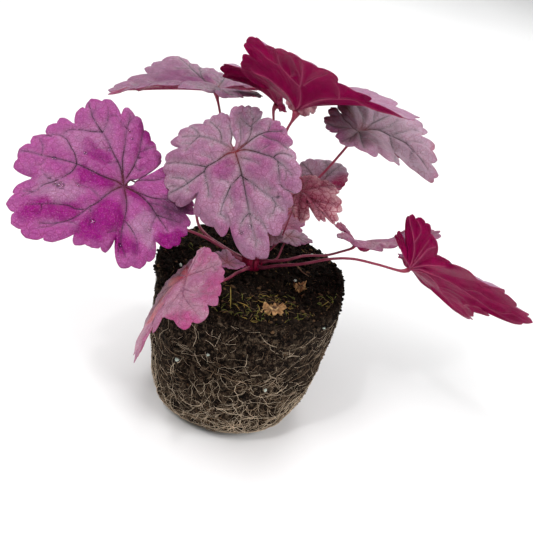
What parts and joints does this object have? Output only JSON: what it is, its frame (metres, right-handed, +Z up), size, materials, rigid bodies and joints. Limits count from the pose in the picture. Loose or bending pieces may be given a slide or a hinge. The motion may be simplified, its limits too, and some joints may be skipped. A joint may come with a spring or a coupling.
{
  "type": "heuchera plant with root ball",
  "caption": "Purple-leaved coral bells plant out of its pot: lobed silvery purple leaves on thin stalks above a bare root ball of dark compost wrapped in pale roots.",
  "frame": {"origin": "centre of the root ball's flat foot, on the surface the plant stands on", "axes": "+Z up; +X to the right and -Y towards the viewer, with the hanging leaf on the near side"},
  "size_m": [0.2741, 0.1888, 0.2337],
  "materials": {
    "soil": "damp crumbly peat compost",
    "roots": "dry fibrous",
    "crown": "fleshy, dull",
    "stalk": "fleshy, satin",
    "leaf_magenta": "satin leaf, quilted between the veins",
    "leaf_lilac": "satin leaf with a silvery bloom",
    "leaf_pink": "satin leaf with a silvery bloom",
    "leaf_rose": "satin crimson leaf",
    "dried_leaf": "dry, brittle"
  },
  "bodies": {
    "root": {"root_ball_soil": "soil", "root_net": "roots", "crown": "crown", "leaf_01_blade": "leaf_magenta", "leaf_01_stalk": "stalk", "leaf_02_blade": "leaf_lilac", "leaf_02_stalk": "stalk", "leaf_03_blade": "leaf_lilac", "leaf_03_stalk": "stalk", "leaf_04_blade": "leaf_rose", "leaf_04_stalk": "stalk", "leaf_05_blade": "leaf_rose", "leaf_05_stalk": "stalk", "leaf_06_blade": "leaf_lilac", "leaf_06_stalk": "stalk", "leaf_07_blade": "leaf_lilac", "leaf_07_stalk": "stalk", "leaf_08_blade": "leaf_rose", "leaf_08_stalk": "stalk", "leaf_09_blade": "leaf_pink", "leaf_09_stalk": "stalk", "leaf_10_blade": "leaf_lilac", "leaf_10_stalk": "stalk", "leaf_11_blade": "leaf_lilac", "leaf_11_stalk": "stalk", "leaf_12_blade": "leaf_lilac", "leaf_12_stalk": "stalk", "leaf_13_blade": "leaf_rose", "leaf_13_stalk": "stalk", "leaf_14_blade": "leaf_pink", "leaf_14_stalk": "stalk", "leaf_15_blade": "leaf_lilac", "leaf_15_stalk": "stalk", "leaf_16_blade": "leaf_rose", "leaf_16_stalk": "stalk", "dried_leaf_large": "dried_leaf", "dried_leaf_small": "dried_leaf"}
  },
  "joints": []
}
